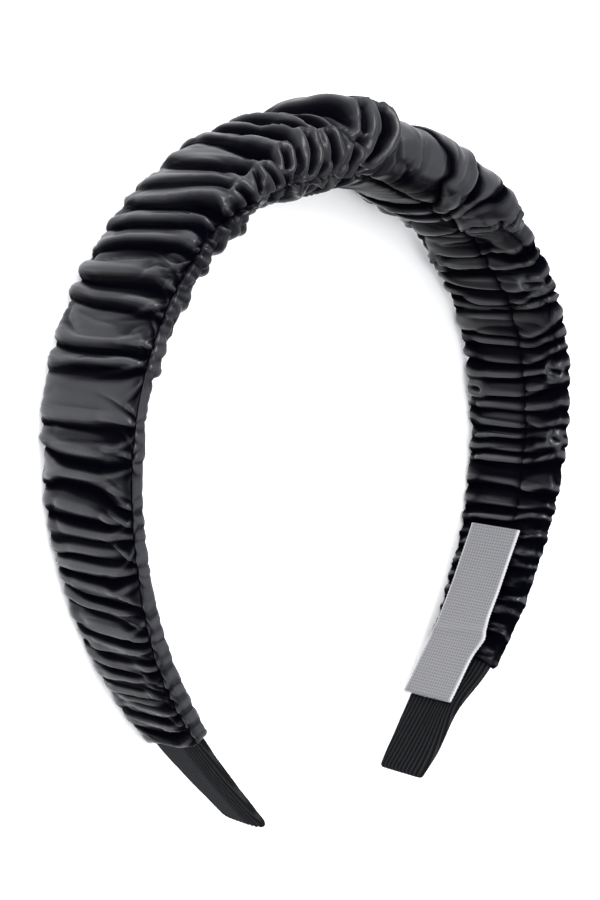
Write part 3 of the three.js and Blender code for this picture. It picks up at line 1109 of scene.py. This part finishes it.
def faux_leather(sizes):
    """Polyurethane coated cloth, embossed: a satin black skin with a very fine grain."""
    material, tree, shader = new_material("faux_leather", {"IOR": 1.48})
    place = add_node(tree, "TexCoord").outputs["Object"]
    fold = add_node(tree, "Attribute", {"attribute_name": "fold"}).outputs["Fac"]
    # Painted highlight and painted shade: the fold attribute paints the crests bright and glossy
    # and the creases and the dark under the crests near black, through base colour and specular
    # level, with the roughness lower on the crests
    tone = add_node(tree, "ValToRGB", None, {"Fac": fold})
    set_stops(tone, [(0.12, linear("#020205")), (1.0, tuple(sizes.leather))])
    painted_gloss = add_node(tree, "ValToRGB", None, {"Fac": fold})
    set_stops(painted_gloss, [(at, (level, level, level, 1)) for at, level in PAINTED_GLOSS])
    polish = add_node(tree, "MapRange", {"To Min": 0.4, "To Max": 0.23},
                      {"Value": fold})
    # Embossed cells, drawn as coarse as they need to be to show
    grain = add_node(tree, "TexVoronoi",
                     {"Scale": 1 / (GRAIN * MM), "Randomness": 1.0}, {"Vector": place})
    # Fine creases where the skin has been bent
    lines = add_node(tree, "TexNoise",
                     {"Scale": 1 / (FINE_CREASE * MM), "Detail": 4.0, "Roughness": 0.6},
                     {"Vector": place})
    bump = add_node(tree, "Bump", {"Strength": 0.15, "Distance": 0.02 * MM},
                    {"Height": grain.outputs["Distance"]})
    folds = add_node(tree, "Bump", {"Strength": 0.2, "Distance": 0.1 * MM},
                     {"Height": lines.outputs["Fac"], "Normal": bump.outputs["Normal"]})
    wire(tree, shader, {
        "Base Color": tone.outputs["Color"],
        "Specular IOR Level": painted_gloss.outputs["Color"],
        "Roughness": polish.outputs["Result"],
        "Normal": folds.outputs["Normal"],
    })
    return material


def ribbed_ribbon(sizes):
    """Woven rayon ribbon wound over the ends: matte, soft black, with fine threads."""
    material, tree, shader = new_material("ribbed_ribbon", {
        "Roughness": 0.85,
        "Specular IOR Level": 0.15,
    })
    run = add_node(tree, "UVMap", {"uv_map": "UVMap"}).outputs["UV"]
    threads = add_node(tree, "TexWave",
                       {"wave_type": "BANDS", "bands_direction": "Y",
                        "Scale": 1 / (THREAD * WAVE_BANDS), "Distortion": 1.2, "Detail": 2.0},
                       {"Vector": run})
    place = add_node(tree, "TexCoord").outputs["Object"]
    fuzz = add_node(tree, "TexNoise",
                    {"Scale": 1 / (FUZZ * MM), "Detail": 3.0}, {"Vector": place})
    # Painted highlight and painted shade: the ribs' tops are painted lighter and the lines between
    # them painted black
    rib = add_node(tree, "Attribute", {"attribute_name": "fold"}).outputs["Fac"]
    speck = add_node(tree, "Math", {"operation": "MULTIPLY_ADD", 1: 0.5, 2: -0.25},
                     {0: fuzz.outputs["Fac"]})
    painted_rib_light = add_node(tree, "Math", {"operation": "ADD"},
                   {0: rib, 1: speck.outputs["Value"]})
    tone = add_node(tree, "ValToRGB", None, {"Fac": painted_rib_light.outputs["Value"]})
    set_stops(tone, [(0.35, linear("#010102")), (1.0, tuple(sizes.ribbon))])
    weave = add_node(tree, "Bump", {"Strength": 0.5, "Distance": 0.08 * MM},
                     {"Height": threads.outputs["Fac"]})
    nap = add_node(tree, "Bump", {"Strength": 0.4, "Distance": 0.1 * MM},
                   {"Height": fuzz.outputs["Fac"], "Normal": weave.outputs["Normal"]})
    wire(tree, shader, {"Base Color": tone.outputs["Color"], "Normal": nap.outputs["Normal"]})
    return material


def woven_satin(sizes):
    """Polyester damask label: close satin threads with a soft silver sheen."""
    material, tree, shader = new_material("woven_satin", {
        "Roughness": 0.48,
        "Sheen Weight": 0.3,
        "Sheen Roughness": 0.35,
    })
    run = add_node(tree, "UVMap", {"uv_map": "UVMap"}).outputs["UV"]
    dots = add_node(tree, "TexVoronoi",
                    {"Scale": 1 / WEAVE_DOT, "Randomness": 0.08}, {"Vector": run})
    tone = add_node(tree, "ValToRGB", None, {"Fac": dots.outputs["Distance"]})
    set_stops(tone, [(0.15, linear("#4e4e50")), (0.5, tuple(sizes.thread))])
    # The selvedges, which the label's fold attribute marks, are painted in a lighter colour, a
    # painted highlight along the label's edges
    edge = add_node(tree, "Attribute", {"attribute_name": "fold"}).outputs["Fac"]
    shade = add_node(tree, "Mix", {"data_type": "RGBA", 7: linear("#9a9a9c")},
                     {0: edge, 6: tone.outputs["Color"]})
    weave = add_node(tree, "Bump", {"Strength": 0.6, "Distance": 0.1 * MM},
                     {"Height": dots.outputs["Distance"]})
    wire(tree, shader, {"Base Color": shade.outputs[2], "Normal": weave.outputs["Normal"]})
    return material


def matte_floor(colour):
    """Painted board: plain, pale and matte, with a mottle too faint to see as a pattern."""
    material, tree, shader = new_material("matte_floor", {"Roughness": 0.9})
    place = add_node(tree, "TexCoord").outputs["Object"]
    mottle = add_node(tree, "TexNoise",
                      {"Scale": 4.0, "Detail": 2.0}, {"Vector": place})
    tone = add_node(tree, "ValToRGB", None, {"Fac": mottle.outputs["Fac"]})
    dull = (*[0.985 * part for part in colour[:3]], 1.0)
    set_stops(tone, [(0.0, dull), (1.0, tuple(colour))])
    wire(tree, shader, {"Base Color": tone.outputs["Color"]})
    return material


# Stage

def photo_camera():
    """The photograph's camera, turned with the loop from upright to lying."""
    cos_down = math.cos(PHOTO_LOOK_DOWN)
    sin_down = math.sin(PHOTO_LOOK_DOWN)
    cos_turn = math.cos(PHOTO_TURN)
    sin_turn = math.sin(PHOTO_TURN)
    ahead = Vector((sin_turn * cos_down, -sin_down, -cos_turn * cos_down))
    right = Vector((cos_turn, 0, sin_turn))
    up = right.cross(ahead)
    image_right = right * math.cos(PHOTO_ROLL) + up * math.sin(PHOTO_ROLL)
    image_up = up * math.cos(PHOTO_ROLL) - right * math.sin(PHOTO_ROLL)
    eye = -ahead * PHOTO_DISTANCE - Vector((PHOTO_ORIGIN[0], PHOTO_ORIGIN[1], 0))
    turn = Matrix.Rotation(REST_TILT, 3, "X")
    axes = Matrix((turn @ image_right, turn @ image_up, turn @ -ahead)).transposed()
    camera = bpy.data.cameras.new("photo_camera")
    camera.lens = PHOTO_FOCAL / PHOTO_HEIGHT * SENSOR
    camera.sensor_width = SENSOR
    camera.shift_x = -PHOTO_AXIS[0] / PHOTO_HEIGHT
    camera.shift_y = PHOTO_AXIS[1] / PHOTO_HEIGHT
    camera.clip_start = 0.01
    camera.clip_end = 20
    camera.dof.use_dof = False
    viewer = bpy.data.objects.new("photo_camera", camera)
    place = in_frame(np.array(eye))
    viewer.matrix_world = Matrix.Translation(Vector(place)) @ axes.to_4x4()
    bpy.context.scene.collection.objects.link(viewer)
    bpy.context.scene.camera = viewer


def softbox(lamp, key):
    """A soft rectangular light that looks at the loop."""
    light = bpy.data.lights.new(lamp.name, "AREA")
    light.shape = "RECTANGLE"
    light.size = lamp.width
    light.size_y = lamp.height
    light.energy = key * lamp.power
    aim = Vector(LAMP_AIM) - Vector(lamp.place)
    box = bpy.data.objects.new(lamp.name, light)
    box.location = lamp.place
    box.rotation_euler = aim.to_track_quat("-Z", "Y").to_euler()
    box.visible_glossy = lamp.reflects
    bpy.context.scene.collection.objects.link(box)


def studio_surround(strength):
    """Soft, slightly cool light from all round, a little stronger beyond the crown."""
    world = bpy.data.worlds.new("studio_surround")
    world.use_nodes = True
    tree = world.node_tree
    way = add_node(tree, "TexCoord").outputs["Generated"]
    parts = add_node(tree, "SeparateXYZ", None, {"Vector": way})
    share = add_node(tree, "Math", {"operation": "MULTIPLY_ADD", 1: 0.5, 2: 0.5},
                     {0: parts.outputs["Y"]})
    tone = add_node(tree, "ValToRGB", None, {"Fac": share.outputs["Value"]})
    red, green, blue = SURROUND_TINT
    set_stops(tone, [(at, (red * level, green * level, blue * level, 1)) for at, level in SURROUND])
    glow = tree.nodes["Background"]
    glow.inputs["Strength"].default_value = strength
    wire(tree, glow, {"Color": tone.outputs["Color"]})
    bpy.context.scene.world = world


def build_stage(sizes):
    """The floor, which doesn't show in reflections, the lights and the camera."""
    bm = bmesh.new()
    bmesh.ops.create_grid(bm, x_segments=4, y_segments=4, size=FLOOR_HALF)
    floor = finished(bm, "pale_floor", matte_floor(sizes.floor))
    floor.visible_glossy = False
    studio_surround(sizes.surround)
    for lamp in LAMPS:
        softbox(lamp, sizes.key)
    photo_camera()
    bpy.context.scene.view_settings.view_transform = "Standard"


# Settings, operators and panel

def colour_setting(name, description, colour):
    """A colour that the panel shows."""
    return bpy.props.FloatVectorProperty(
        name=name, description=description, default=colour,
        size=4, min=0.0, max=1.0, subtype="COLOR")


class SleeveSizes(bpy.types.PropertyGroup):
    wall: bpy.props.FloatProperty(
        name="Wall", description="Thickness of the leather", default=0.001,
        min=0.0005, max=0.003, unit="LENGTH")
    gather: bpy.props.FloatProperty(
        name="Gather", description="Height of the gathers against the drawn one",
        default=1.0, min=0.0, max=1.3, subtype="FACTOR")
    # The leather's colour is painted on its crests, the top of the painted highlight, and fades to
    # near black in the painted shade of the creases
    leather: colour_setting("Leather", "Colour of the leather on its crests", linear("#121219"))


class BandSizes(bpy.types.PropertyGroup):
    rib: bpy.props.FloatProperty(
        name="Rib", description="Spacing of the ribs on the bare ends", default=0.0012,
        min=0.0005, max=0.003, unit="LENGTH")
    # The ribbon's colour is painted on its ribs' tops as a painted highlight
    ribbon: colour_setting("Ribbon", "Colour of the ribbon on its ribs", linear("#1a1b1e"))


class LabelSizes(bpy.types.PropertyGroup):
    width: bpy.props.FloatProperty(
        name="Width", description="Width of the label", default=0.0155,
        min=0.005, max=0.03, unit="LENGTH")
    thickness: bpy.props.FloatProperty(
        name="Thickness", description="Thickness of the label", default=0.0008,
        min=0.0002, max=0.002, unit="LENGTH")
    thread: colour_setting("Thread", "Colour of the label's lighter thread", linear("#6c6c6f"))


class StageSizes(bpy.types.PropertyGroup):
    floor: colour_setting("Floor", "Colour of the floor", (0.9, 0.9, 0.9, 1.0))
    surround: bpy.props.FloatProperty(
        name="Surround", description="Brightness of the light from all round", default=4.6,
        min=0.0, max=20.0)
    key: bpy.props.FloatProperty(
        name="Key", description="Power of the main softbox", default=8.0,
        min=0.0, max=500.0, unit="POWER")


class MakeSleeve(bpy.types.Operator):
    """Adds the gathered leather sleeve"""
    bl_idname = "headband.sleeve"
    bl_label = "Gathered Sleeve"

    def execute(self, context):
        sleeve = build_sleeve(context.scene.headband_sleeve)
        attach(sleeve, "root")
        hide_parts("ruched_sleeve")
        return {"FINISHED"}


class MakeBand(bpy.types.Operator):
    """Adds the padded band with its ribbed ends"""
    bl_idname = "headband.band"
    bl_label = "Padded Band"

    def execute(self, context):
        band = build_band(context.scene.headband_band)
        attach(band, "root")
        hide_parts("padded_band")
        return {"FINISHED"}


class MakeLabel(bpy.types.Operator):
    """Adds the bare woven label"""
    bl_idname = "headband.label"
    bl_label = "Woven Label"

    def execute(self, context):
        label = build_label(context.scene.headband_label)
        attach(label, "root")
        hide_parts("woven_label")
        return {"FINISHED"}


class MakeStage(bpy.types.Operator):
    """Adds the floor, the lights and the camera"""
    bl_idname = "headband.stage"
    bl_label = "Stage"

    def execute(self, context):
        build_stage(context.scene.headband_stage)
        return {"FINISHED"}


class HeadbandPanel(bpy.types.Panel):
    bl_idname = "VIEW3D_PT_headband"
    bl_label = "Ruched Headband"
    bl_space_type = "VIEW_3D"
    bl_region_type = "UI"
    bl_category = "Headband"

    def draw(self, context):
        for name, group, operator in ITEMS:
            box = self.layout.box()
            for setting in group.__annotations__:
                box.prop(getattr(context.scene, name), setting)
            box.operator(operator.bl_idname)


ITEMS = [
    ("headband_band", BandSizes, MakeBand),
    ("headband_sleeve", SleeveSizes, MakeSleeve),
    ("headband_label", LabelSizes, MakeLabel),
    ("headband_stage", StageSizes, MakeStage),
]


def register():
    for name, group, operator in ITEMS:
        bpy.utils.register_class(group)
        bpy.utils.register_class(operator)
        setattr(bpy.types.Scene, name, bpy.props.PointerProperty(type=group))
    bpy.utils.register_class(HeadbandPanel)


def unregister():
    bpy.utils.unregister_class(HeadbandPanel)
    for name, group, operator in reversed(ITEMS):
        delattr(bpy.types.Scene, name)
        bpy.utils.unregister_class(operator)
        bpy.utils.unregister_class(group)


def main():
    register()
    bpy.ops.headband.band()
    bpy.ops.headband.sleeve()
    bpy.ops.headband.label()
    bpy.ops.headband.stage()


if __name__ == "__main__":
    main()
